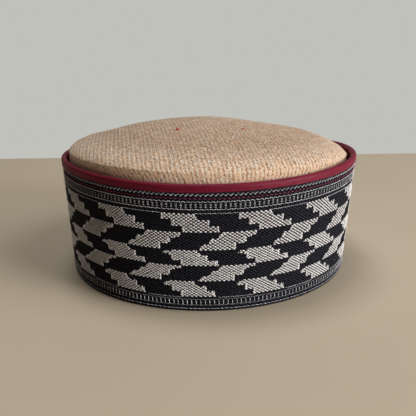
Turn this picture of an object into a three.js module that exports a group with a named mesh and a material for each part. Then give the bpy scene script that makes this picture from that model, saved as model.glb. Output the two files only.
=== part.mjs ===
// A round woollen cap with a stiff woven band and a folded tape over the band's top edge.
// Units are millimetres, +Z is up, and the front of the cap looks towards -Y.
// The origin lies on the floor, below the middle of the rim.

import * as THREE from 'three';

// Rim and foot: the cap's outer sizes.
const rimRadius = 98;        // outer face of the folded tape at the top edge
const footRadius = 94;       // outer face of the woven band at the floor
const rimHeight = 73.4;      // top of the folded tape, the mean all round
const rimSway = 2;           // the rim dips this far at front and back, and rises as far at the sides
const footShift = -1.2;      // the foot's centre, along X from the rim's centre

// The woven band.
const bandWall = 1.6;
const gripWall = 1;          // the band is pressed thinner where the tape holds it
const gripTaper = 1;         // height over which the wall narrows to that
const hemBevel = 0.4;        // soft edges of the band's lower fold

// The folded tape.
const tapeWall = 1;
const tapeDropOutside = 4.2; // how far the tape comes down outside
const tapeDropInside = 6;    // and inside
const tapeStandOut = 0.6;    // its outer leg stands this far out of the band's face
const tapeRound = 1.2;       // rounding of the fold

// The woollen crown.
const crownWall = 2;
const crownGap = 2.1;        // open gap between the tape's inner leg and the crown, the mean all round
const crownOffCentre = 0.24; // the crown leans towards -X, as a share of that gap
const shoulderLift = 2.7;    // from the rim's mean height to where the shoulder starts to turn in
const crownRise = 19.2;      // from there to the top of the dome
const crownTilt = 0.024;     // fall of the dome towards +X, for each millimetre
const domePower = 1.7;       // how flat the dome's middle is
const shoulderPower = 1.48;  // how square its shoulder is
const hemLift = 1.5;         // the crown's lower edge lies this far above the floor

// Clearance between pieces that touch on the real cap.
const seatGap = 0.3;

// Fineness of the solids.
const sides = 64;            // facets round the cap
const domeRows = 11;         // rows from the top of the dome to its shoulder
const wallRows = 3;          // rows down the crown's wall

// Soft dents and swells of the dome. Azimuth is in degrees from the front towards +X, reach and
// spread are shares of the crown's radius, and depth is a share of its rise. A swell has a minus.
const domeDents = [
  { azimuth: -103, reach: 0.76, depth: 0.040, spread: 0.15 },
  { azimuth: -90, reach: 0.90, depth: -0.035, spread: 0.13 },
  { azimuth: 178, reach: 0.30, depth: -0.025, spread: 0.30 },
  { azimuth: 128, reach: 0.50, depth: 0.045, spread: 0.20 },
  { azimuth: 106, reach: 0.76, depth: -0.032, spread: 0.18 },
  { azimuth: 82, reach: 0.98, depth: 0.050, spread: 0.12 },
];

// Sizes worked out from those above.
const faceTopRadius = rimRadius - tapeStandOut;
const outerLegInset = tapeWall - tapeStandOut;
const gripInset = outerLegInset + seatGap;
const innerLegInset = gripInset + gripWall + seatGap;
const tapeInnerInset = innerLegInset + tapeWall;
const shoulderRadius = faceTopRadius - tapeInnerInset - crownGap;
const crownFootRadius = footRadius - bandWall - seatGap;
const shoulderHeight = rimHeight + shoulderLift;
const crownShift = -crownOffCentre * crownGap;

function azimuthOf(step) {
  return (step / sides) * 2 * Math.PI;
}

function mix(from, to, share) {
  return from + (to - from) * share;
}

// Height of the rim's top at an azimuth.
function rimTop(azimuth) {
  return rimHeight - rimSway * Math.cos(2 * azimuth);
}

// A point that lies inset from the band's flared outer face, at a height above the floor.
function wallPoint(azimuth, inset, height) {
  const share = height / rimTop(azimuth);
  const radius = mix(footRadius, faceTopRadius, share) - inset;
  const centre = mix(footShift, 0, share);
  return new THREE.Vector3(
    centre + radius * Math.sin(azimuth),
    -radius * Math.cos(azimuth),
    height,
  );
}

function meshFrom(points, triangles, name, material) {
  const geometry = new THREE.BufferGeometry();
  geometry.setAttribute(
    'position',
    new THREE.Float32BufferAttribute(points.flatMap((point) => point.toArray()), 3),
  );
  geometry.setIndex(triangles.flat());
  geometry.computeVertexNormals();
  const mesh = new THREE.Mesh(geometry, material);
  mesh.name = name;
  return mesh;
}

// A closed ring: the same section at each step round the cap, joined by quads of two triangles.
function ringMesh(sectionAt, name, material) {
  const points = [];
  for (let step = 0; step < sides; step += 1) {
    points.push(...sectionAt(azimuthOf(step)));
  }
  const count = points.length / sides;
  const triangles = [];
  for (let step = 0; step < sides; step += 1) {
    const here = step * count;
    const next = ((step + 1) % sides) * count;
    for (let corner = 0; corner < count; corner += 1) {
      const after = (corner + 1) % count;
      triangles.push([here + corner, next + corner, next + after]);
      triangles.push([here + corner, next + after, here + after]);
    }
  }
  return meshFrom(points, triangles, name, material);
}

// The woven band's section, from the hem up the outer face, over the top and down the inner face.
function bandSection(azimuth) {
  const top = rimTop(azimuth) - tapeWall - seatGap;
  const outerGrip = rimTop(azimuth) - tapeDropOutside - seatGap;
  const innerGrip = rimTop(azimuth) - tapeDropInside - seatGap;
  return [
    wallPoint(azimuth, bandWall - hemBevel, 0),
    wallPoint(azimuth, hemBevel, 0),
    wallPoint(azimuth, 0, hemBevel),
    wallPoint(azimuth, 0, outerGrip - gripTaper),
    wallPoint(azimuth, gripInset, outerGrip),
    wallPoint(azimuth, gripInset, top),
    wallPoint(azimuth, gripInset + gripWall, top),
    wallPoint(azimuth, gripInset + gripWall, innerGrip),
    wallPoint(azimuth, bandWall, innerGrip - gripTaper),
    wallPoint(azimuth, bandWall, hemBevel),
  ];
}

// The tape's section: up the outer leg, over the rounded fold, down the inner leg and back inside.
function tapeSection(azimuth) {
  const top = rimTop(azimuth);
  const outerEnd = top - tapeDropOutside;
  const innerEnd = top - tapeDropInside;
  const corner = tapeRound * (1 - Math.SQRT1_2);
  return [
    wallPoint(azimuth, -tapeStandOut, outerEnd),
    wallPoint(azimuth, -tapeStandOut, top - tapeRound),
    wallPoint(azimuth, -tapeStandOut + corner, top - corner),
    wallPoint(azimuth, -tapeStandOut + tapeRound, top),
    wallPoint(azimuth, tapeInnerInset - tapeRound, top),
    wallPoint(azimuth, tapeInnerInset - corner, top - corner),
    wallPoint(azimuth, tapeInnerInset, top - tapeRound),
    wallPoint(azimuth, tapeInnerInset, innerEnd),
    wallPoint(azimuth, innerLegInset, innerEnd),
    wallPoint(azimuth, innerLegInset, top - tapeWall),
    wallPoint(azimuth, outerLegInset, top - tapeWall),
    wallPoint(azimuth, outerLegInset, outerEnd),
  ];
}

// The crown's outer profile, from the top of the dome out to the shoulder and down to the hem.
function crownProfile() {
  const profile = [];
  for (let row = 0; row <= domeRows; row += 1) {
    const reach = Math.sin((row / domeRows) * (Math.PI / 2));
    const rise = (1 - reach ** domePower) ** (1 / shoulderPower);
    profile.push(new THREE.Vector2(shoulderRadius * reach, shoulderHeight + crownRise * rise));
  }
  for (let row = 1; row <= wallRows; row += 1) {
    const share = row / wallRows;
    profile.push(new THREE.Vector2(
      mix(shoulderRadius, crownFootRadius, share),
      mix(shoulderHeight, hemLift, share),
    ));
  }
  return profile;
}

// The same profile set in by the cloth's thickness, square to it.
function insetProfile(profile) {
  const last = profile.length - 1;
  return profile.map((point, index) => {
    if (index === 0) {
      return new THREE.Vector2(0, point.y - crownWall);
    }
    if (index === last) {
      return new THREE.Vector2(point.x - crownWall, point.y);
    }
    const along = profile[index + 1].clone().sub(profile[index - 1]).normalize();
    return new THREE.Vector2(point.x + along.y * crownWall, point.y - along.x * crownWall);
  });
}

// How far the dome is pressed down at a place given as shares of the crown's radius.
function dentDepth(x, y) {
  return domeDents.reduce((depth, dent) => {
    const azimuth = THREE.MathUtils.degToRad(dent.azimuth);
    const away = Math.hypot(
      x - dent.reach * Math.sin(azimuth),
      y + dent.reach * Math.cos(azimuth),
    );
    return depth + dent.depth * crownRise * Math.exp(-((away / dent.spread) ** 2));
  }, 0);
}

// A profile point turned to its azimuth, with the crown's lean, tilt and dents. They fade to
// nothing at the hem, where the crown is sewn into the band.
function crownPoint(azimuth, flat) {
  const share = THREE.MathUtils.clamp((flat.y - hemLift) / (shoulderHeight - hemLift), 0, 1);
  const x = flat.x * Math.sin(azimuth);
  const y = -flat.x * Math.cos(azimuth);
  const sink = dentDepth(x / shoulderRadius, y / shoulderRadius) + crownTilt * x;
  return new THREE.Vector3(mix(footShift, crownShift, share) + x, y, flat.y - share * sink);
}

function crownMesh(material) {
  const outer = crownProfile();
  const rows = [...outer, ...insetProfile(outer).reverse()];
  const inRing = rows.slice(1, -1);
  const points = [crownPoint(0, rows[0])];
  inRing.forEach((flat) => {
    for (let step = 0; step < sides; step += 1) {
      points.push(crownPoint(azimuthOf(step), flat));
    }
  });
  points.push(crownPoint(0, rows[rows.length - 1]));
  const ring = (row, step) => 1 + row * sides + (step % sides);
  const topPole = 0;
  const innerPole = points.length - 1;
  const lastRow = inRing.length - 1;
  const triangles = [];
  for (let step = 0; step < sides; step += 1) {
    triangles.push([topPole, ring(0, step), ring(0, step + 1)]);
    triangles.push([innerPole, ring(lastRow, step + 1), ring(lastRow, step)]);
    for (let row = 0; row < lastRow; row += 1) {
      triangles.push([ring(row, step), ring(row + 1, step), ring(row + 1, step + 1)]);
      triangles.push([ring(row, step), ring(row + 1, step + 1), ring(row, step + 1)]);
    }
  }
  return meshFrom(points, triangles, 'crown', material);
}

const wool = new THREE.MeshStandardMaterial({ color: 0xc9ae90, roughness: 0.95, metalness: 0 });
const weave = new THREE.MeshStandardMaterial({ color: 0x17171d, roughness: 0.85, metalness: 0 });
const satin = new THREE.MeshStandardMaterial({ color: 0x6e1a2b, roughness: 0.55, metalness: 0 });

const cap = new THREE.Group();
cap.add(crownMesh(wool));
cap.add(ringMesh(bandSection, 'band', weave));
cap.add(ringMesh(tapeSection, 'edge_binding', satin));

export default cap;
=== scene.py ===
import math

import bpy
import numpy as np
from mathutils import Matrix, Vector


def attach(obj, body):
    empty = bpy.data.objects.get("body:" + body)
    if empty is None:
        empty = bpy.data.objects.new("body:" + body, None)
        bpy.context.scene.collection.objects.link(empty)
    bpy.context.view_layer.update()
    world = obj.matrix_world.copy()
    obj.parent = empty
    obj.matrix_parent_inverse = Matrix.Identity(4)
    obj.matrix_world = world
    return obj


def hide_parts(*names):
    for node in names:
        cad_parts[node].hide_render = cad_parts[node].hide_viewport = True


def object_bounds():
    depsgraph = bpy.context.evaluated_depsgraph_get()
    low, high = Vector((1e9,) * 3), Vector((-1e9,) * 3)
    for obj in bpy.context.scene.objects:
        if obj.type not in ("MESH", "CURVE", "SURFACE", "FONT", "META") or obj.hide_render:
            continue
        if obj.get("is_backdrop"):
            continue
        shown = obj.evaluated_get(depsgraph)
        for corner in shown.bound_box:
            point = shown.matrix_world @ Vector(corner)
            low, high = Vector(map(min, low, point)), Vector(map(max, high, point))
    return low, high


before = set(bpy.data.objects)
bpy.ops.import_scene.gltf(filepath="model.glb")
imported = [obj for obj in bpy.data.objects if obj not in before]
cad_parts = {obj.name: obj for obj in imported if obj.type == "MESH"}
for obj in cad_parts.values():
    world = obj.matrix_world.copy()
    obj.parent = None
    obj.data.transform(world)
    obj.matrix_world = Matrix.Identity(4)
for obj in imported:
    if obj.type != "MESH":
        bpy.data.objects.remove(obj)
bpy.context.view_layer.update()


# The camera looks slightly down at the front of the cap, from the height of a seated person.
# All sizes in this file are in metres.
camera_turn = [math.radians(angle) for angle in (74.223, 0.763, -0.033)]
bpy.ops.object.camera_add(location=(0, -0.33046, 0.12524), rotation=camera_turn)
camera = bpy.context.object
camera.name = "camera"
camera.data.sensor_width = 36
camera.data.lens = 41.538
bpy.context.scene.camera = camera
bpy.context.scene.view_settings.view_transform = "Standard"
bpy.context.scene.view_settings.look = "Medium High Contrast"


# The crown is a round of thick woollen cloth in mixed cream, tan and light brown yarns. It is
# blocked to a low dome, and its side runs down inside the band to the hem, where it is sewn in.
crown_radius = 0.0923
crown_foot_radius = 0.0921
crown_foot = 0.0015
crown_shoulder = 0.0761
crown_rise = 0.0192
crown_cloth = 0.002
crown_foot_shift = -0.0012
crown_top_shift = -0.0005
crown_tilt = 0.024
crown_front_fill = 0.0015
dome_power = 1.7
shoulder_power = 1.48
yarn_column = 0.00245
yarn_width = 0.0011
yarn_length = 0.0015
# azimuth in degrees from the front towards +X, then reach, depth and spread
crown_dents = (
    (-103, 0.76, 0.040, 0.15),
    (-90, 0.90, -0.035, 0.13),
    (178, 0.30, -0.025, 0.30),
    (128, 0.50, 0.045, 0.20),
    (106, 0.76, -0.032, 0.18),
    (82, 0.98, 0.050, 0.12),
)


class Thread:
    """A socket in a cloth's material. Sums written on it add the nodes that they need."""

    def __init__(self, tree, socket=None):
        self.tree = tree
        self.socket = socket

    def node(self, kind, settings, sockets, output=0):
        made = self.tree.nodes.new(kind)
        for name, value in settings.items():
            if name == "stops":
                ramp = made.color_ramp.elements
                ramp.remove(ramp[1])
                ramp[0].position = value[0][0]
                ramp[0].color = (*value[0][1], 1)
                for place, colour in value[1:]:
                    ramp.new(place).color = (*colour, 1)
            else:
                setattr(made, name, value)
        for name, value in sockets.items():
            if isinstance(value, Thread):
                self.tree.links.new(value.socket, made.inputs[name])
            else:
                made.inputs[name].default_value = value
        return Thread(self.tree, made.outputs[output] if made.outputs else None)

    def math(self, operation, *values):
        return self.node("ShaderNodeMath", {"operation": operation}, dict(enumerate(values)))

    def wave(self, length):
        """A sine wave of this length along the value."""
        return self.math("SINE", self * (2 * math.pi / length))

    def __add__(self, other):
        return self.math("ADD", self, other)

    def __radd__(self, other):
        return self.math("ADD", other, self)

    def __sub__(self, other):
        return self.math("SUBTRACT", self, other)

    def __rsub__(self, other):
        return self.math("SUBTRACT", other, self)

    def __mul__(self, other):
        return self.math("MULTIPLY", self, other)

    def __rmul__(self, other):
        return self.math("MULTIPLY", other, self)


def new_finish(name):
    """An empty material, and the thread on which its nodes are made."""
    material = bpy.data.materials.new(name)
    material.use_nodes = True
    material.node_tree.nodes.clear()
    return material, Thread(material.node_tree)


def blend_colours(finish, share, low, high):
    """Two colours mixed by a share."""
    colours = {0: share, 6: low, 7: high}
    return finish.node("ShaderNodeMix", {"data_type": "RGBA"}, colours, output=2)


def start_piece(name):
    """Names the primitive that was just added and opens it in edit mode."""
    piece = bpy.context.object
    piece.name = name
    bpy.ops.object.mode_set(mode="EDIT")
    return piece


def places(piece):
    """All vertices of a piece as rows of x, y and z."""
    rows = np.empty(len(piece.data.vertices) * 3)
    piece.data.vertices.foreach_get("co", rows)
    return rows.reshape(-1, 3)


def put_places(piece, rows):
    piece.data.vertices.foreach_set("co", rows.ravel())
    piece.data.update()


def set_modifier(piece, kind, **settings):
    """Adds one modifier, sets it and applies it."""
    bpy.ops.object.select_all(action="DESELECT")
    piece.select_set(True)
    bpy.context.view_layer.objects.active = piece
    modifier = piece.modifiers.new(kind.lower(), kind)
    for name, value in settings.items():
        setattr(modifier, name, value)
    bpy.ops.object.modifier_apply(modifier=modifier.name)


def give_cloth_map(piece, across, along):
    """Writes how far each point lies across and along the cut cloth, for the weave."""
    corners = np.empty(len(piece.data.loops), dtype=int)
    piece.data.loops.foreach_get("vertex_index", corners)
    chart = np.stack([across[corners], along[corners]], 1)
    layer = piece.data.uv_layers.new(name="cloth")
    layer.uv.foreach_set("vector", chart.ravel())


bpy.ops.object.select_all(action="DESELECT")
bpy.ops.mesh.primitive_uv_sphere_add(segments=288, ring_count=104, radius=crown_radius)
crown = start_piece("wool_crown")
bpy.ops.mesh.bisect(plane_co=(0, 0, 0), plane_no=(0, 0, 1), clear_inner=True)
for step in range(9):
    bpy.ops.mesh.select_all(action="DESELECT")
    bpy.ops.mesh.select_mode(type="EDGE")
    bpy.ops.mesh.select_non_manifold()
    bpy.ops.mesh.extrude_region_move(TRANSFORM_OT_translate={"value": (0, 0, -0.01)})
bpy.ops.object.mode_set(mode="OBJECT")

spots = places(crown)
side_steps = np.clip(-spots[:, 2] / 0.09, 0, 1)
azimuth = np.arctan2(spots[:, 0], -spots[:, 1])
reach = np.clip(np.hypot(spots[:, 0], spots[:, 1]) / crown_radius, 0, 1)
reach[side_steps > 0] = 1
spots[:, 2] = crown_shoulder + crown_rise * (1 - reach ** dome_power) ** (1 / shoulder_power)
spots[:, 2] -= side_steps * (crown_shoulder - crown_foot)
radius = reach * (crown_radius + side_steps * (crown_foot_radius - crown_radius))

# how far each point lies from the middle of the crown, measured along its cloth
profile = np.sin(np.linspace(0, np.pi / 2, 400))
rise = crown_rise * (1 - profile ** dome_power) ** (1 / shoulder_power)
cloth_steps = np.hypot(np.diff(profile * crown_radius), np.diff(rise))
lengths = np.concatenate([[0], np.cumsum(cloth_steps)])
drape = np.interp(reach, profile, lengths) + side_steps * (crown_shoulder - crown_foot)
across_cloth = drape * np.sin(azimuth)
along_cloth = -drape * np.cos(azimuth)

lift = np.clip((spots[:, 2] - crown_foot) / (crown_shoulder - crown_foot), 0, 1)
sink = np.zeros(len(spots))
for dent_azimuth, dent_reach, dent_depth, dent_spread in crown_dents:
    angle = math.radians(dent_azimuth)
    away = np.hypot(
        reach * np.sin(azimuth) - dent_reach * math.sin(angle),
        -reach * np.cos(azimuth) + dent_reach * math.cos(angle),
    )
    sink += dent_depth * crown_rise * np.exp(-((away / dent_spread) ** 2))
# the shoulder stands out a little at the front, where the gap to the tape is narrow
front_fill = crown_front_fill * np.clip(np.cos(azimuth), 0, 1) ** 2
front_fill = front_fill * np.clip((reach - 0.8) / 0.2, 0, 1) * np.clip(1 - side_steps / 0.3, 0, 1)
radius = radius + front_fill
spots[:, 0] = radius * np.sin(azimuth)
spots[:, 1] = -radius * np.cos(azimuth)
ripple = (
    np.sin(spots[:, 0] * 330 + 1.7) * np.sin(spots[:, 1] * 270 + 0.4)
    + 0.6 * np.sin(spots[:, 0] * 610 - spots[:, 1] * 480 + 2.1)
)
spots[:, 2] -= lift * (sink + crown_tilt * spots[:, 0]) - 0.00012 * ripple * (reach < 0.97)
spots[:, 0] += crown_foot_shift + lift * (crown_top_shift - crown_foot_shift)
put_places(crown, spots)
give_cloth_map(crown, across_cloth, along_cloth)
set_modifier(crown, "SOLIDIFY", thickness=crown_cloth, offset=-1)
bpy.ops.object.shade_smooth()

wool_finish, wool = new_finish("melange_wool")
cloth_map = wool.node("ShaderNodeUVMap", {"uv_map": "cloth"}, {})
sway = wool.node(
    "ShaderNodeTexNoise",
    {"noise_dimensions": "2D"},
    {"Vector": cloth_map, "Scale": 260.0, "Detail": 2.0},
)
cloth_across = wool.node("ShaderNodeSeparateXYZ", {}, {"Vector": cloth_map}, "X")
cloth_along = wool.node("ShaderNodeSeparateXYZ", {}, {"Vector": cloth_map}, "Y")
slant = cloth_across + cloth_along * 0.17 + (sway - 0.5) * 0.0016
columns = slant.wave(yarn_column)
yarn_grid = wool.node(
    "ShaderNodeCombineXYZ",
    {},
    {"X": slant * (1 / yarn_width), "Y": cloth_along * (1 / yarn_length)},
)
yarn_cells = wool.node(
    "ShaderNodeTexVoronoi",
    {"voronoi_dimensions": "2D"},
    {"Vector": yarn_grid, "Scale": 1.0, "Randomness": 0.9},
)
yarn_colours = wool.node(
    "ShaderNodeTexVoronoi",
    {"voronoi_dimensions": "2D"},
    {"Vector": yarn_grid, "Scale": 1.0, "Randomness": 0.9},
    "Color",
)
yarn_random = wool.node("ShaderNodeSeparateColor", {}, {"Color": yarn_colours}, "Red")
fibres = wool.node(
    "ShaderNodeTexNoise",
    {"noise_dimensions": "2D"},
    {"Vector": yarn_grid, "Scale": 2.6, "Detail": 3.0, "Roughness": 0.65},
)
patches = wool.node(
    "ShaderNodeTexNoise",
    {"noise_dimensions": "2D"},
    {"Vector": cloth_map, "Scale": 230.0, "Detail": 3.0},
)
yarn_hue = wool.node("ShaderNodeSeparateColor", {}, {"Color": yarn_colours}, "Green")
# the relief is the bump's height, and it also sets the wool's lightness below: painted shade in
# the hollows between the yarns and painted light on their tops and on the upright columns
wool_relief = columns * 0.13 + (0.6 - yarn_cells) * 0.9 + fibres * 0.5
cloth_reach = wool.node("ShaderNodeVectorMath", {"operation": "LENGTH"}, {0: cloth_map}, "Value")
shoulder = wool.node(
    "ShaderNodeMapRange", {}, {"Value": cloth_reach, "From Min": 0.07, "From Max": 0.098}
)
# the floats stand upright and show more of the tan yarn towards the rim. Painted light: the wool
# is also made lighter towards the rim, where its side lies in shade, and lighter on the shaded
# left and darker on the lit right
edge = shoulder * shoulder
wool_tone_and_painted_light = wool_relief * (shoulder * 0.15 + 0.62) + yarn_random * 0.3 + (patches - 0.5) * 0.4
wool_tone_and_painted_light = wool_tone_and_painted_light + shoulder * 0.42 + edge * columns * 0.09 - cloth_across * 1.2 + 0.03
cream_yarn = wool.node(
    "ShaderNodeValToRGB",
    {
        "stops": (
            (0.0, (0.25, 0.145, 0.08)),
            (0.35, (0.47, 0.345, 0.25)),
            (0.7, (0.67, 0.575, 0.475)),
            (1.0, (0.88, 0.80, 0.70)),
        )
    },
    {"Fac": wool_tone_and_painted_light},
)
tan_yarn = wool.node(
    "ShaderNodeValToRGB",
    {
        "stops": (
            (0.0, (0.22, 0.095, 0.04)),
            (0.35, (0.44, 0.245, 0.13)),
            (0.7, (0.66, 0.435, 0.28)),
            (1.0, (0.89, 0.67, 0.475)),
        )
    },
    {"Fac": wool_tone_and_painted_light},
)
tan_share = yarn_hue * 0.7 + (patches - 0.5) * 1.2 + edge * (0.5 - columns * 0.4) + 0.02
wool_mix = blend_colours(wool, tan_share, cream_yarn, tan_yarn)
wool_bump = wool.node(
    "ShaderNodeBump", {}, {"Height": wool_relief, "Strength": 0.75, "Distance": 0.00035}
)
wool_cloth = wool.node(
    "ShaderNodeBsdfPrincipled",
    {},
    {
        "Base Color": wool_mix,
        "Normal": wool_bump,
        "Roughness": 0.95,
        "Specular IOR Level": 0.15,
        "Diffuse Roughness": 0.7,
        "Sheen Weight": 0.2,
        "Sheen Roughness": 0.5,
        "Sheen Tint": (1, 0.93, 0.85, 1),
    },
)
wool.node("ShaderNodeOutputMaterial", {}, {"Surface": wool_cloth})
crown.data.materials.append(wool_finish)
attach(crown, "root")
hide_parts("crown")


def add_bead(name, x, z, length, height, stand, slant, out=0.0):
    """One thread bead, lying on the flat strip."""
    bpy.ops.object.select_all(action="DESELECT")
    bpy.ops.mesh.primitive_ico_sphere_add(
        subdivisions=1,
        radius=1,
        location=(x, -out, z),
        rotation=(0, slant, 0),
        scale=(length, stand, height),
    )
    bpy.ops.object.transform_apply(location=True, rotation=True, scale=True)
    bead = bpy.context.object
    bead.name = name
    return bead


def join_pieces(parts, name):
    """Makes one piece of several."""
    bpy.ops.object.select_all(action="DESELECT")
    for part in parts:
        part.select_set(True)
    bpy.context.view_layer.objects.active = parts[0]
    if len(parts) > 1:
        bpy.ops.object.join()
    parts[0].name = name
    return parts[0]


# Two red neps show near the top of the crown. They are small tufts of another wool, spun into
# its yarn, and lie half sunk in the cloth.
nep_stand = 0.0008
nep_lift = 0.0002
nep_table = (
    # x, y, half length, half height
    (-0.0186, -0.0394, 0.0012, 0.0009),
    (0.0212, -0.0336, 0.0011, 0.0003),
)
neps = []
for x, y, length, height in nep_table:
    nearest = np.argmin((spots[:, 0] - x) ** 2 + (spots[:, 1] - y) ** 2)
    z = spots[nearest, 2] + nep_lift
    neps.append(add_bead("wool_neps", x, z, length, height, nep_stand, 0, -y))
neps = join_pieces(neps, "wool_neps")
bpy.ops.object.shade_smooth()
nep_finish, tuft = new_finish("red_wool")
tuft_place = tuft.node("ShaderNodeTexCoord", {}, {}, "Object")
tuft_noise = tuft.node("ShaderNodeTexNoise", {}, {"Vector": tuft_place, "Scale": 1500.0})
tuft_tone = blend_colours(tuft, tuft_noise, (0.34, 0.02, 0.03, 1), (0.62, 0.08, 0.08, 1))
tuft_cloth = tuft.node("ShaderNodeBsdfPrincipled", {}, {"Base Color": tuft_tone, "Roughness": 0.9})
tuft.node("ShaderNodeOutputMaterial", {}, {"Surface": tuft_cloth})
neps.data.materials.append(nep_finish)
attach(neps, "root")


# The band is one stiff strip of black patterned cloth, woven flat and turned in at both edges.
# It is bent round the crown, and its two ends are sewn together at the back. The black floats of
# its ground are drawn in its finish, in step with the ivory ones.
band_height = 0.0734
band_sway = 0.002
band_foot_radius = 0.094
band_top_radius = 0.0974
band_cloth = 0.0016
band_ticks = 240
band_edge_bevel = 0.0006
band_drop = 0.00015
black_row = 0.00164
strip_radius = 0.0956
strip_length = strip_radius * 2 * math.pi
tick = strip_length / band_ticks
pattern_start = math.radians(2.65) * strip_radius


def round_the_cap(piece):
    """Bends a flat piece of the strip round the cap. Minus y on the strip stands out from it."""
    rows = places(piece)
    turn = rows[:, 0] / strip_radius
    share = rows[:, 2] / band_height
    out = band_foot_radius + share * (band_top_radius - band_foot_radius) - rows[:, 1]
    shift = crown_foot_shift * (1 - np.clip(share, 0, 1))
    height = share * (band_height - band_sway * np.cos(2 * turn))
    bent = np.stack([shift + out * np.sin(turn), -out * np.cos(turn), height], 1)
    put_places(piece, bent)


bpy.ops.object.select_all(action="DESELECT")
bpy.ops.mesh.primitive_grid_add(
    x_subdivisions=480,
    y_subdivisions=24,
    size=1,
    location=(0, 0, band_height / 2),
    rotation=(math.pi / 2, 0, 0),
)
band = start_piece("woven_band")
bpy.ops.transform.resize(
    value=(strip_length - 0.0003, 1, band_height - 0.0004),
    center_override=(0, 0, band_height / 2),
)
bpy.ops.object.mode_set(mode="OBJECT")
bpy.ops.object.transform_apply(location=True, rotation=True, scale=True)
strip = places(band)
give_cloth_map(band, strip[:, 0], strip[:, 2])
set_modifier(band, "SOLIDIFY", thickness=band_cloth, offset=-1)
set_modifier(band, "BEVEL", width=band_edge_bevel, segments=3, limit_method="ANGLE")
strip = places(band)
strip[:, 2] -= band_drop
put_places(band, strip)
round_the_cap(band)
bpy.ops.object.shade_smooth_by_angle(angle=math.radians(50))

black_finish, black = new_finish("black_ground")
black_map = black.node("ShaderNodeUVMap", {"uv_map": "cloth"}, {})
black_across = black.node("ShaderNodeSeparateXYZ", {}, {"Vector": black_map}, "X") * (1 / tick)
black_up = black.node("ShaderNodeSeparateXYZ", {}, {"Vector": black_map}, "Y") * (1 / black_row)
black_noise = black.node(
    "ShaderNodeTexNoise", {}, {"Vector": black_map, "Scale": 900.0, "Detail": 3.0}
)
black_rising = (black_across + black_up).wave(1) * 0.19
black_falling = (black_across - black_up).wave(1) * 0.16
black_relief = black_rising + black_falling + black_noise
black_bump = black.node(
    "ShaderNodeBump", {}, {"Height": black_relief, "Strength": 0.8, "Distance": 0.0003}
)
# painted light and shade: the colour follows the relief, lighter on the tops of the floats and
# darker in the grooves between them
black_tone = black.node(
    "ShaderNodeValToRGB",
    {
        "stops": (
            (0.0, (0.002, 0.002, 0.003)),
            (0.4, (0.007, 0.007, 0.010)),
            (1.0, (0.075, 0.076, 0.100)),
        )
    },
    {"Fac": black_relief - 0.04},
)
black_cloth = black.node(
    "ShaderNodeBsdfPrincipled",
    {},
    {
        "Base Color": black_tone,
        "Normal": black_bump,
        "Roughness": 0.85,
        "Specular IOR Level": 0.12,
    },
)
black.node("ShaderNodeOutputMaterial", {}, {"Surface": black_cloth})
band.data.materials.append(black_finish)
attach(band, "root")
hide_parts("band")


# The stepped motifs are ivory weft threads that float over the black ground. Each thread shows
# as a small slanting bead, and the beads of the next row lie half a step to the side.
bead_length = 0.00095
bead_height = 0.000475
bead_stand = 0.00031
bead_slant = math.radians(8)
bead_out = 0.0001
bead_reach = 0.42
repeat_ticks = 16
repeats = 15
# the share of the band's height at which each motif's top lies, and the last one's foot
motif_tops = (0.787, 0.643, 0.503, 0.379, 0.253, 0.124)
# for each motif, twelve rows with the tick at which the ivory starts and ends
motif_rows = (
    (
        (-11.7, -4.7), (-11.7, -4.6), (-11.7, -4.3), (-11.7, -4.0),
        (-9.6, -1.7), (-9.6, -1.7), (-9.6, -1.7), (-9.6, -1.9),
        (-7.4, 0.2), (-7.4, 0.2), (-7.4, 0.3), (-7.3, 0.4),
    ),
    (
        (0.9, 8.3), (0.5, 8.3), (0.3, 8.1), (0.2, 7.2),
        (-1.3, 6.1), (-1.6, 6.1), (-1.8, 6.1), (-2.0, 5.6),
        (-3.0, 3.9), (-3.5, 3.9), (-3.7, 3.9), (-4.0, 3.8),
    ),
    (
        (-9.6, -4.2), (-11.2, -4.0), (-11.6, -3.8), (-10.4, -3.4),
        (-9.8, -2.0), (-9.8, -2.0), (-9.8, -2.0), (-9.6, -2.0),
        (-7.8, 0.1), (-7.8, 0.1), (-7.8, 0.1), (-7.5, 0.3),
    ),
    (
        (1.0, 8.25), (0.6, 8.25), (0.3, 7.0), (0.2, 6.2),
        (-1.0, 5.8), (-1.3, 5.8), (-1.5, 5.8), (-1.8, 5.5),
        (-3.0, 3.8), (-3.4, 3.8), (-3.7, 3.8), (-4.1, 3.7),
    ),
    (
        (-10.4, -4.9), (-11.2, -4.8), (-11.6, -4.6), (-11.6, -4.2),
        (-9.9, -2.3), (-9.9, -2.3), (-9.9, -2.3), (-9.9, -2.3),
        (-8.0, -0.4), (-8.0, -0.4), (-8.0, -0.4), (-8.0, -0.3),
    ),
)
# single floats that stand off a motif's edge: its number, the tick and the row
horn_length = 0.00032
horn_height = 0.00044
horns = ((4, -2.8, 3.6), (4, -0.9, 7.6), (4, -1.7, 7.6))


def repeat_along(piece, count, step):
    """Repeats a piece along the strip."""
    set_modifier(
        piece,
        "ARRAY",
        count=count,
        use_relative_offset=False,
        use_constant_offset=True,
        constant_offset_displace=(step, 0, 0),
    )


def loosen_beads(piece, points, amount, seed):
    """Moves each bead a little, and stores a shade of its own for its yarn."""
    chance = np.random.default_rng(seed)
    rows = places(piece)
    beads = len(rows) // points
    moves = chance.normal(0, amount, (beads, 3)) * (1, 0.5, 0.7)
    put_places(piece, rows + np.repeat(moves, points, 0))
    shades = np.repeat(chance.uniform(0, 1, beads), points)
    layer = piece.data.attributes.new("yarn", "FLOAT", "POINT")
    layer.data.foreach_set("value", shades)


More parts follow.
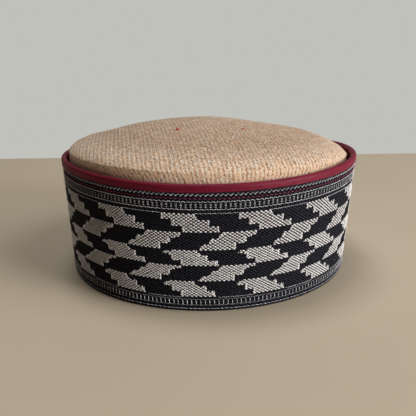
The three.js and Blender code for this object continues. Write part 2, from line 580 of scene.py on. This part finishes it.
bead_rows = []
for motif, rows in enumerate(motif_rows):
    top, foot = motif_tops[motif], motif_tops[motif + 1]
    for row, (start, end) in enumerate(rows):
        half = (row % 2) / 2
        first = math.ceil(start + 0.2 - half) + half
        count = math.floor(end - 0.2 - first) + 1
        height = (top + (foot - top) * (row + 0.5) / 12) * band_height
        spots_in_row = [(first, bead_length, count)]
        # a shorter float fills what is left at each end of the row
        for low, high in ((start, first - bead_reach), (first + count - 1 + bead_reach, end)):
            if high - low > 0.1:
                spots_in_row.append(((low + high) / 2, (high - low) * 0.58 * tick, 1))
        for x, length, number in spots_in_row:
            bead = add_bead(
                "thread_bead",
                x * tick,
                height,
                length,
                bead_height,
                bead_stand,
                bead_slant,
                bead_out,
            )
            if number > 1:
                repeat_along(bead, number, tick)
            bead_rows.append(bead)
for motif, x, row in horns:
    height = motif_tops[motif] + (motif_tops[motif + 1] - motif_tops[motif]) * row / 12
    place = (x * tick, height * band_height)
    bead_rows.append(add_bead("horn", *place, horn_length, horn_height, bead_stand, 0, bead_out))
motifs = join_pieces(bead_rows, "ivory_motifs")
repeat_along(motifs, repeats, repeat_ticks * tick)
strip = places(motifs)
strip[:, 0] += pattern_start - (repeats // 2) * repeat_ticks * tick
put_places(motifs, strip)
loosen_beads(motifs, 12, 0.00005, 11)
round_the_cap(motifs)
bpy.ops.object.shade_smooth()

ivory_finish, ivory = new_finish("ivory_yarn")
ivory_place = ivory.node("ShaderNodeTexCoord", {}, {}, "Object")
ivory_yarn = ivory.node("ShaderNodeAttribute", {"attribute_name": "yarn"}, {}, "Fac")
ivory_noise = ivory.node(
    "ShaderNodeTexNoise", {}, {"Vector": ivory_place, "Scale": 1800.0, "Detail": 3.0}
)
ivory_patches = ivory.node(
    "ShaderNodeTexNoise", {}, {"Vector": ivory_place, "Scale": 120.0, "Detail": 2.0}
)
ivory_tone = ivory.node(
    "ShaderNodeValToRGB",
    {
        "stops": (
            (0.0, (0.40, 0.33, 0.285)),
            (0.35, (0.70, 0.66, 0.635)),
            (1.0, (0.96, 0.955, 0.965)),
        )
    },
    {"Fac": ivory_yarn * 0.35 + ivory_noise * 0.3 + ivory_patches * 0.7 - 0.05},
)
ivory_bump = ivory.node(
    "ShaderNodeBump", {}, {"Height": ivory_noise, "Strength": 0.4, "Distance": 0.0002}
)
ivory_cloth = ivory.node(
    "ShaderNodeBsdfPrincipled",
    {},
    {
        "Base Color": ivory_tone,
        "Normal": ivory_bump,
        "Roughness": 0.8,
        "Specular IOR Level": 0.3,
        "Sheen Weight": 0.1,
    },
)
ivory.node("ShaderNodeOutputMaterial", {}, {"Surface": ivory_cloth})
motifs.data.materials.append(ivory_finish)
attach(motifs, "root")


# Both edges of the strip have borders of fine ivory threads: twisted lines of small beads, and
# between them a ladder of short bars. Some threads lie deeper in the cloth; their darker grey
# finish is partly painted shade.
border_rows = (
    # height share, step to the side, half length, half height, slant, bright
    (0.9180, 0.50, 0.00064, 0.00023, 0, 1),
    (0.9250, 0.25, 0.00052, 0.00016, 25, 0),
    (0.9250, 0.75, 0.00062, 0.00019, -25, 1),
    (0.9325, 0.00, 0.00050, 0.00022, 0, 0),
    (0.8735, 0.25, 0.00080, 0.00022, 28, 1),
    (0.8735, 0.75, 0.00080, 0.00022, -28, 1),
    (0.8560, 0.50, 0.00066, 0.00018, 0, 1),
    (0.8450, 0.50, 0.00068, 0.00018, 0, 1),
    (0.8340, 0.50, 0.00066, 0.00018, 0, 1),
    (0.8172, 0.40, 0.00078, 0.00021, -23, 1),
    (0.8172, 0.90, 0.00078, 0.00021, 23, 1),
    (0.1010, 0.25, 0.00078, 0.00018, 25, 0),
    (0.1010, 0.75, 0.00078, 0.00018, -25, 0),
    (0.0800, 0.50, 0.00024, 0.00115, -8, 1),
    (0.0620, 0.50, 0.00040, 0.00030, 0, 1),
    (0.0530, 0.25, 0.00072, 0.00017, 18, 0),
    (0.0530, 0.75, 0.00072, 0.00017, -18, 0),
    (0.0235, 0.25, 0.00072, 0.00021, 12, 1),
    (0.0235, 0.75, 0.00072, 0.00019, -12, 0),
)
wave_rows = (
    # height share, first tick, number of ticks, slant
    (0.7872, -4.75, 9, 18),
    (0.1185, 0.35, 8, 24),
)
border_stand = 0.00028
border_out = 0.00008
wave_length = 0.0007
wave_height = 0.00015
wave_stand = 0.00025

# painted shade: this darker copy of the ivory thread stands for the threads that lie deeper in the
# cloth
painted_shade_grey_finish, grey = new_finish("painted_shade_grey_yarn")
grey_place = grey.node("ShaderNodeTexCoord", {}, {}, "Object")
grey_noise = grey.node(
    "ShaderNodeTexNoise", {}, {"Vector": grey_place, "Scale": 1500.0, "Detail": 3.0}
)
painted_shade_grey_yarn = grey.node("ShaderNodeAttribute", {"attribute_name": "yarn"}, {}, "Fac")
painted_shade_grey_tone = grey.node(
    "ShaderNodeValToRGB",
    {
        "stops": (
            (0.0, (0.14, 0.135, 0.15)),
            (0.5, (0.34, 0.33, 0.35)),
            (1.0, (0.62, 0.61, 0.63)),
        )
    },
    {"Fac": painted_shade_grey_yarn * 0.55 + grey_noise * 0.6 - 0.1},
)
grey_cloth = grey.node(
    "ShaderNodeBsdfPrincipled",
    {},
    {"Base Color": painted_shade_grey_tone, "Roughness": 0.8, "Specular IOR Level": 0.3},
)
grey.node("ShaderNodeOutputMaterial", {}, {"Surface": grey_cloth})

silver_finish, silver = new_finish("silver_yarn")
silver_place = silver.node("ShaderNodeTexCoord", {}, {}, "Object")
silver_noise = silver.node(
    "ShaderNodeTexNoise", {}, {"Vector": silver_place, "Scale": 1500.0, "Detail": 3.0}
)
silver_yarn = silver.node("ShaderNodeAttribute", {"attribute_name": "yarn"}, {}, "Fac")
silver_tone = silver.node(
    "ShaderNodeValToRGB",
    {
        "stops": (
            (0.0, (0.26, 0.25, 0.26)),
            (0.5, (0.72, 0.71, 0.73)),
            (1.0, (0.98, 0.98, 0.99)),
        )
    },
    {"Fac": silver_yarn * 0.6 + silver_noise * 0.6 - 0.1},
)
silver_cloth = silver.node(
    "ShaderNodeBsdfPrincipled",
    {},
    {"Base Color": silver_tone, "Roughness": 0.7, "Specular IOR Level": 0.4},
)
silver.node("ShaderNodeOutputMaterial", {}, {"Surface": silver_cloth})

border_beads = []
for share, side, length, height, slant, bright in border_rows:
    bead = add_bead(
        "border_bead",
        side * tick,
        share * band_height,
        length,
        height,
        border_stand,
        math.radians(slant),
        border_out,
    )
    bead.data.materials.append(silver_finish if bright else painted_shade_grey_finish)
    border_beads.append(bead)
borders = join_pieces(border_beads, "border_threads")
repeat_along(borders, band_ticks, tick)
strip = places(borders)
strip[:, 0] -= band_ticks / 2 * tick
put_places(borders, strip)

wave_beads = []
for share, start, count, slant in wave_rows:
    for step, lean in ((0.25, slant), (0.75, -slant)):
        bead = add_bead(
            "wave_bead",
            (start + step) * tick,
            share * band_height,
            wave_length,
            wave_height,
            wave_stand,
            math.radians(lean),
            border_out,
        )
        repeat_along(bead, count, tick)
        wave_beads.append(bead)
waves = join_pieces(wave_beads, "waves")
waves.data.materials.append(silver_finish)
repeat_along(waves, repeats, repeat_ticks * tick)
strip = places(waves)
strip[:, 0] -= (repeats // 2) * repeat_ticks * tick
put_places(waves, strip)
borders = join_pieces([borders, waves], "border_threads")
strip = places(borders)
strip[:, 0] += pattern_start
put_places(borders, strip)
loosen_beads(borders, 12, 0.00004, 12)
round_the_cap(borders)
bpy.ops.object.shade_smooth()
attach(borders, "root")


# The strip's two ends are sewn together at the back with a column of short black stitches, and
# worn fibres of its yarns stand off all round.
seam_stitches = 30
seam_foot = 0.0035
seam_step = 0.00215
seam_stitch = add_bead(
    "seam_stitches", 0, seam_foot, 0.0013, 0.0004, 0.00045, math.radians(8), 0.0003
)
set_modifier(
    seam_stitch,
    "ARRAY",
    count=seam_stitches,
    use_relative_offset=False,
    use_constant_offset=True,
    constant_offset_displace=(0, 0, seam_step),
)
strip = places(seam_stitch)
strip[:, 0] += strip_length / 2
put_places(seam_stitch, strip)
loosen_beads(seam_stitch, 12, 0.00006, 14)
round_the_cap(seam_stitch)
bpy.ops.object.shade_smooth()
seam_stitch.data.materials.append(black_finish)
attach(seam_stitch, "root")

fibre_count = 620
fibre_rings = 5
fibre_radius = 0.00005
fibre_unit = 0.001
fibre_floor = 0.0004
# the first fibres gather at the two frayed places, low at the front right and high at the left
frayed_right = slice(0, 22)
frayed_left = slice(22, 60)
bpy.ops.object.select_all(action="DESELECT")
bpy.ops.mesh.primitive_circle_add(vertices=3, radius=fibre_radius, fill_type="NGON")
fibres_piece = start_piece("loose_fibres")
for step in range(fibre_rings):
    ring_move = {"value": (0, 0, fibre_unit / fibre_rings)}
    bpy.ops.mesh.extrude_region_move(TRANSFORM_OT_translate=ring_move)
bpy.ops.mesh.select_all(action="SELECT")
bpy.ops.mesh.normals_make_consistent(inside=False)
bpy.ops.object.mode_set(mode="OBJECT")
fibre_points = len(fibres_piece.data.vertices)
repeat_along(fibres_piece, fibre_count, 0)
chance = np.random.default_rng(15)
fibre = places(fibres_piece).reshape(fibre_count, fibre_points, 3)
run = fibre[:, :, 2] / fibre_unit
length = chance.uniform(0.0012, 0.0034, (fibre_count, 1))
way = chance.uniform(0, 2 * math.pi, (fibre_count, 1))
curl = chance.uniform(-1.6, 1.6, (fibre_count, 1))
stand = chance.uniform(0.15, 0.55, (fibre_count, 1))
thin = 1.1 - 0.8 * run
base_x = chance.uniform(-0.5, 0.5, (fibre_count, 1)) * strip_length
base_z = chance.uniform(0.02, 0.93, (fibre_count, 1)) * band_height
base_x[frayed_right] = math.radians(38) * strip_radius + chance.normal(0, 0.004, (22, 1))
base_z[frayed_right] = 0.0035 + np.abs(chance.normal(0, 0.002, (22, 1)))
base_x[frayed_left] = math.radians(-80) * strip_radius + chance.normal(0, 0.006, (38, 1))
base_z[frayed_left] = 0.058 + chance.normal(0, 0.006, (38, 1))
turned = way + curl * run
fibre[:, :, 0] = fibre[:, :, 0] * thin + base_x + length * run * np.cos(turned)
fibre[:, :, 2] = fibre[:, :, 1] * thin + base_z + length * run * np.sin(turned)
fibre[:, :, 2] = np.maximum(fibre[:, :, 2], fibre_floor + 0.3 * fibre[:, :, 1])
fibre[:, :, 1] = fibre[:, :, 0] * 0 - 0.0001 - length * stand * np.sin(run * 2.2)
fibre[:, 1::3, 1] -= 0.00008 * thin[:, 1::3]
put_places(fibres_piece, fibre.reshape(-1, 3))
layer = fibres_piece.data.attributes.new("yarn", "FLOAT", "POINT")
layer.data.foreach_set("value", np.repeat(chance.uniform(0, 1, fibre_count), fibre_points))
round_the_cap(fibres_piece)
bpy.ops.object.shade_smooth()
fibre_finish, fluff = new_finish("loose_yarn_fibre")
fluff_yarn = fluff.node("ShaderNodeAttribute", {"attribute_name": "yarn"}, {}, "Fac")
fluff_tone = fluff.node(
    "ShaderNodeValToRGB",
    {
        "stops": (
            (0.0, (0.012, 0.012, 0.016)),
            (0.7, (0.03, 0.03, 0.036)),
            (0.85, (0.30, 0.27, 0.25)),
            (1.0, (0.5, 0.46, 0.43)),
        )
    },
    {"Fac": fluff_yarn},
)
fluff_cloth = fluff.node(
    "ShaderNodeBsdfPrincipled",
    {},
    {"Base Color": fluff_tone, "Roughness": 0.85, "Specular IOR Level": 0.1},
)
fluff.node("ShaderNodeOutputMaterial", {}, {"Surface": fluff_cloth})
fibres_piece.data.materials.append(fibre_finish)
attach(fibres_piece, "root")


# The band's top edge is bound with a smooth maroon tape, folded over it and stitched through
# near its lower edge with maroon thread.
tape_drop_outside = 0.0042
tape_drop_inside = 0.006
tape_stand_out = 0.0006
tape_inner_inset = 0.003
tape_cloth = 0.0006
tape_rows = 22
tape_width = 0.0124

tape_across = tape_stand_out + tape_inner_inset
tape_outline = []
for step in range(tape_rows + 1):
    share = step / tape_rows
    fold = tape_across / 2
    lengths_of_tape = (tape_drop_outside - fold, math.pi * fold, tape_drop_inside - fold)
    run = share * sum(lengths_of_tape)
    if run < lengths_of_tape[0]:
        tape_outline.append((tape_stand_out, -tape_drop_outside + run))
    elif run < lengths_of_tape[0] + lengths_of_tape[1]:
        angle = (run - lengths_of_tape[0]) / fold
        tape_outline.append(
            (tape_stand_out - fold * (1 - math.cos(angle)), -fold + fold * math.sin(angle))
        )
    else:
        run -= lengths_of_tape[0] + lengths_of_tape[1]
        tape_outline.append((tape_stand_out - tape_across, -fold - run))

bpy.ops.object.select_all(action="DESELECT")
bpy.ops.mesh.primitive_grid_add(
    x_subdivisions=480, y_subdivisions=tape_rows, size=1, rotation=(math.pi / 2, 0, 0)
)
tape = start_piece("edge_tape")
bpy.ops.transform.resize(value=(strip_length, 1, 1), center_override=(0, 0, 0))
bpy.ops.object.mode_set(mode="OBJECT")
bpy.ops.object.transform_apply(location=True, rotation=True, scale=True)
strip = places(tape)
tape_step = np.rint((strip[:, 2] + 0.5) * tape_rows).astype(int)
outline = np.array(tape_outline)[tape_step]
give_cloth_map(tape, strip[:, 0], (strip[:, 2] + 0.5) * tape_width)
# the stitched lower edge puckers and wanders a little
pucker = 0.00008 * np.sin(strip[:, 0] * 2 * math.pi / 0.0092) * (tape_step < 3)
drift = 0.00022 * np.sin(strip[:, 0] * 21 + 0.6) + 0.00012 * np.sin(strip[:, 0] * 67)
strip[:, 1] = -outline[:, 0] - pucker
strip[:, 2] = band_height + outline[:, 1] + drift * (tape_step < 3)
put_places(tape, strip)
round_the_cap(tape)
bpy.ops.object.mode_set(mode="EDIT")
bpy.ops.mesh.select_all(action="SELECT")
bpy.ops.mesh.remove_doubles(threshold=0.00001)
bpy.ops.mesh.normals_make_consistent(inside=False)
bpy.ops.object.mode_set(mode="OBJECT")
set_modifier(tape, "SOLIDIFY", thickness=tape_cloth, offset=-1)
bpy.ops.object.shade_smooth_by_angle(angle=math.radians(50))

tape_finish, maroon = new_finish("maroon_satin")
tape_map = maroon.node("ShaderNodeUVMap", {"uv_map": "cloth"}, {})
tape_long = maroon.node(
    "ShaderNodeMapping", {}, {"Vector": tape_map, "Scale": (60.0, 900.0, 1.0)}
)
tape_streaks = maroon.node(
    "ShaderNodeTexNoise", {}, {"Vector": tape_long, "Scale": 1.0, "Detail": 4.0}
)
tape_fine = maroon.node(
    "ShaderNodeTexNoise", {}, {"Vector": tape_map, "Scale": 1500.0, "Detail": 3.0}
)
tape_tone = blend_colours(
    maroon, tape_streaks * 0.6 + tape_fine * 0.4, (0.04, 0.001, 0.006, 1), (0.35, 0.026, 0.068, 1)
)
tape_bump = maroon.node(
    "ShaderNodeBump",
    {},
    {"Height": tape_streaks * 0.5 + tape_fine * 0.5, "Strength": 0.8, "Distance": 0.0003},
)
tape_satin = maroon.node(
    "ShaderNodeBsdfPrincipled",
    {},
    {
        "Base Color": tape_tone,
        "Normal": tape_bump,
        "Roughness": 0.5,
        "Specular IOR Level": 0.25,
    },
)
maroon.node("ShaderNodeOutputMaterial", {}, {"Surface": tape_satin})
tape.data.materials.append(tape_finish)
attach(tape, "root")
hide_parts("edge_binding")

stitch_count = 244
stitch = add_bead(
    "tape_stitches", 0, 0.8965 * band_height, 0.00104, 0.00023, 0.0003, math.radians(-2), 0.0001
)
repeat_along(stitch, stitch_count, strip_length / stitch_count)
strip = places(stitch)
strip[:, 0] -= strip_length / 2
put_places(stitch, strip)
loosen_beads(stitch, 12, 0.00004, 13)
round_the_cap(stitch)
bpy.ops.object.shade_smooth()
stitch_finish, thread = new_finish("maroon_thread")
thread_place = thread.node("ShaderNodeTexCoord", {}, {}, "Object")
thread_noise = thread.node(
    "ShaderNodeTexNoise", {}, {"Vector": thread_place, "Scale": 2500.0, "Detail": 2.0}
)
thread_tone = blend_colours(thread, thread_noise, (0.20, 0.012, 0.06, 1), (0.52, 0.04, 0.15, 1))
thread_cloth = thread.node(
    "ShaderNodeBsdfPrincipled",
    {},
    {"Base Color": thread_tone, "Roughness": 0.5, "Specular IOR Level": 0.5},
)
thread.node("ShaderNodeOutputMaterial", {}, {"Surface": thread_cloth})
stitch.data.materials.append(stitch_finish)
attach(stitch, "root")


# The floor is plain and pale. Two soft lamps stand to the right, one high and one low, a third
# hangs over the cap, and the room is dim, so that the left of the band lies in shade.
bpy.ops.object.select_all(action="DESELECT")
bpy.ops.mesh.primitive_plane_add(size=1, location=(0, -0.59, 0))
bpy.context.object.scale = (3.2, 2, 1)
bpy.ops.object.transform_apply(location=True, rotation=True, scale=True)
floor = bpy.context.object
floor.name = "floor"
floor_finish, pale = new_finish("pale_floor")
floor_place = pale.node("ShaderNodeTexCoord", {}, {}, "Object")
floor_noise = pale.node("ShaderNodeTexNoise", {}, {"Vector": floor_place, "Scale": 6.0})
floor_tone = blend_colours(pale, floor_noise, (0.58, 0.49, 0.368, 1), (0.62, 0.526, 0.402, 1))
floor_surface = pale.node(
    "ShaderNodeBsdfPrincipled", {}, {"Base Color": floor_tone, "Roughness": 0.6}
)
pale.node("ShaderNodeOutputMaterial", {}, {"Surface": floor_surface})
floor.data.materials.append(floor_finish)
floor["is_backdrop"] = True


def add_lamp(name, place, size, power, colour):
    """A soft square lamp that faces the cap."""
    bpy.ops.object.light_add(type="AREA", location=place)
    lamp = bpy.context.object
    lamp.name = name
    way = Vector((0, 0, 0.05)) - Vector(place)
    lamp.rotation_euler = way.to_track_quat("-Z", "Y").to_euler()
    lamp.data.size = size
    lamp.data.energy = power
    lamp.data.color = colour


add_lamp("key_lamp", (1.52, -0.62, 1.75), 1.3, 16, (1, 0.985, 0.97))
add_lamp("low_lamp", (2.02, -1.22, 0.50), 1.0, 42, (0.965, 0.985, 1))
add_lamp("top_lamp", (-0.3, 0.3, 2.4), 0.9, 16, (1, 0.99, 0.98))
world = bpy.data.worlds.new("soft_room")
world.use_nodes = True
world.node_tree.nodes.clear()
room = Thread(world.node_tree)
room_way = room.node("ShaderNodeTexCoord", {}, {}, "Generated")


def room_share(axis, dark, light, low, high):
    """The room's brightness, from low to high between two steps along one axis."""
    place = room.node("ShaderNodeSeparateXYZ", {}, {"Vector": room_way}, axis)
    steps = {"Value": place, "From Min": dark, "From Max": light, "To Min": low, "To Max": high}
    return room.node("ShaderNodeMapRange", {}, steps)


room_light = (
    room_share("X", -0.9, -0.4, 0.12, 0.47)
    * room_share("Z", 0.55, 0.15, 0.3, 1.0)
    * room_share("Y", -0.5, 0.5, 0.12, 1.0)
)
room_glow = room.node(
    "ShaderNodeBackground", {}, {"Color": (1.0, 1.0, 0.95, 1), "Strength": room_light}
)
room.node("ShaderNodeOutputWorld", {}, {"Surface": room_glow})
bpy.context.scene.world = world

low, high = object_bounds()
